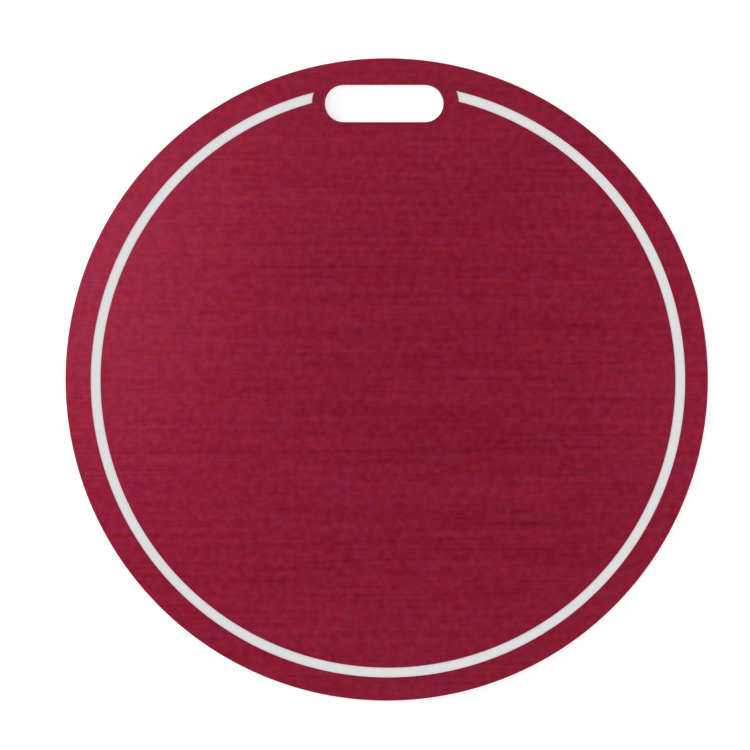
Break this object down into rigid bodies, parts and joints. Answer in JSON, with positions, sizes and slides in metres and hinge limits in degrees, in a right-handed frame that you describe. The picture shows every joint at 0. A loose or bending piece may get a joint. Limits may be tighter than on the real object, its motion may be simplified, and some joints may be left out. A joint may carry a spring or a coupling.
{
  "type": "lawn bowls bag tag",
  "caption": "Flat round bag tag in brushed crimson laminate, with a round-ended strap slot near the rim and a pale ring line engraved just inside it.",
  "frame": {"origin": "the disc's centre on the back face, on which the tag lies", "axes": "+Z out of the front face, +Y towards the strap slot, +X to the right seen from the front with the slot at the top"},
  "size_m": [0.09, 0.09, 0.003],
  "materials": {
    "white_core": "white sheet plastic, laser engraved and laser cut, matt",
    "crimson_film": "crimson metallic film with fine brush lines along X, satin"
  },
  "bodies": {
    "root": {"core_plate": "white_core", "front_cap": "crimson_film", "back_cap": "crimson_film"}
  },
  "joints": []
}
